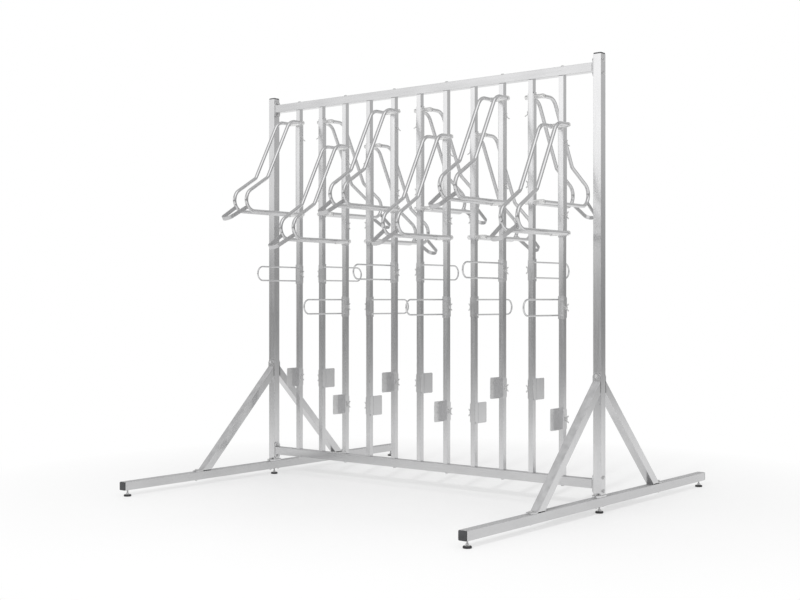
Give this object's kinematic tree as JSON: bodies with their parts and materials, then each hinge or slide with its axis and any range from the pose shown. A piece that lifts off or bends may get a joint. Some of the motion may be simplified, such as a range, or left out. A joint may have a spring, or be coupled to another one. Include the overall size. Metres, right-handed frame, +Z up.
{
  "type": "two tier bike rack",
  "caption": "Free-standing steel rack: tube frame on levelling feet, uprights with bent wheel holders facing front and back at two heights, locking loops and guide plates.",
  "frame": {"origin": "centre of the rack on the floor", "axes": "+X along the rack to its right end, +Y from its front to its back, along the floor beams, +Z up"},
  "size_m": [2.0742, 2.08, 2.05],
  "materials": {
    "steel": "bright galvanised, glossy",
    "foot": "matt black"
  },
  "bodies": {
    "rack": {"beam_left": "steel", "post_left": "steel", "brace_left_front": "steel", "brace_left_back": "steel", "beam_right": "steel", "post_right": "steel", "brace_right_front": "steel", "brace_right_back": "steel", "rail_top": "steel", "rail_bottom": "steel", "upright_01": "steel", "wheel_holder_01": "steel", "locking_loop_01": "steel", "guide_plate_01": "steel", "upright_02": "steel", "wheel_holder_02": "steel", "locking_loop_02": "steel", "guide_plate_02": "steel", "upright_03": "steel", "wheel_holder_03": "steel", "locking_loop_03": "steel", "guide_plate_03": "steel", "upright_04": "steel", "wheel_holder_04": "steel", "locking_loop_04": "steel", "guide_plate_04": "steel", "upright_05": "steel", "wheel_holder_05": "steel", "locking_loop_05": "steel", "guide_plate_05": "steel", "upright_06": "steel", "wheel_holder_06": "steel", "locking_loop_06": "steel", "guide_plate_06": "steel", "upright_07": "steel", "wheel_holder_07": "steel", "locking_loop_07": "steel", "guide_plate_07": "steel", "upright_08": "steel", "wheel_holder_08": "steel", "locking_loop_08": "steel", "guide_plate_08": "steel", "upright_09": "steel", "wheel_holder_09": "steel", "locking_loop_09": "steel", "guide_plate_09": "steel", "upright_10": "steel", "wheel_holder_10": "steel", "locking_loop_10": "steel", "guide_plate_10": "steel", "upright_11": "steel", "wheel_holder_11": "steel", "locking_loop_11": "steel", "guide_plate_11": "steel"},
    "foot_left_front": {"foot_left_front": "foot"},
    "foot_left_middle": {"foot_left_middle": "foot"},
    "foot_left_back": {"foot_left_back": "foot"},
    "foot_right_front": {"foot_right_front": "foot"},
    "foot_right_middle": {"foot_right_middle": "foot"},
    "foot_right_back": {"foot_right_back": "foot"}
  },
  "joints": [
    {"name": "foot_left_front_level", "type": "slide", "parent": "rack", "child": "foot_left_front", "axis": [0, 0, 1], "range_m": [-0.015, 0.01]},
    {"name": "foot_left_middle_level", "type": "slide", "parent": "rack", "child": "foot_left_middle", "axis": [0, 0, 1], "range_m": [-0.015, 0.01]},
    {"name": "foot_left_back_level", "type": "slide", "parent": "rack", "child": "foot_left_back", "axis": [0, 0, 1], "range_m": [-0.015, 0.01]},
    {"name": "foot_right_front_level", "type": "slide", "parent": "rack", "child": "foot_right_front", "axis": [0, 0, 1], "range_m": [-0.015, 0.01]},
    {"name": "foot_right_middle_level", "type": "slide", "parent": "rack", "child": "foot_right_middle", "axis": [0, 0, 1], "range_m": [-0.015, 0.01]},
    {"name": "foot_right_back_level", "type": "slide", "parent": "rack", "child": "foot_right_back", "axis": [0, 0, 1], "range_m": [-0.015, 0.01]}
  ]
}
